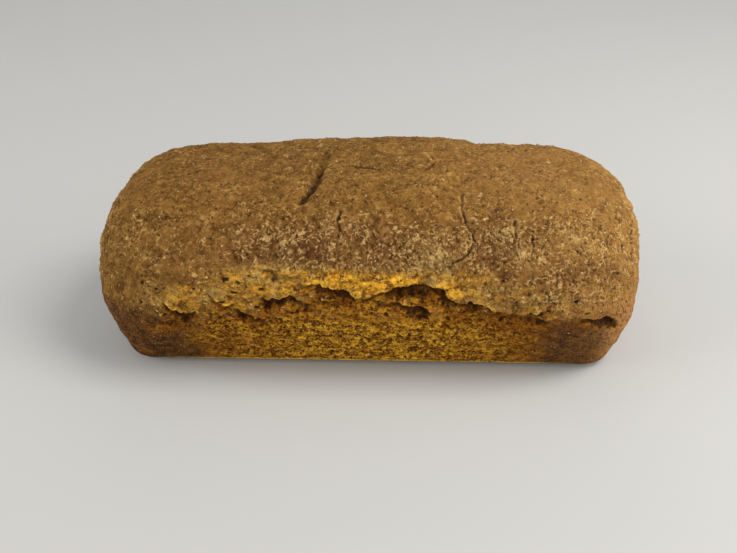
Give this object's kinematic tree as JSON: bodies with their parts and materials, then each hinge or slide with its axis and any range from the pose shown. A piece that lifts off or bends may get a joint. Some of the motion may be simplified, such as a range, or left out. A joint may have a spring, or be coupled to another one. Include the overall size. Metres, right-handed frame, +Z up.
{
  "type": "tin loaf",
  "caption": "Long brown wholemeal loaf baked in an open tin: flat base, tapered sides, domed crust, and a torn, shredded line along each side where it rose over the rim.",
  "frame": {"origin": "on the surface the loaf stands on, under the middle of its box", "axes": "+X along the loaf, +Z up, -Y towards the side with the long open tear"},
  "size_m": [0.2944, 0.1412, 0.1014],
  "materials": {
    "crust": "matte"
  },
  "bodies": {
    "root": {"loaf": "crust"}
  },
  "joints": []
}
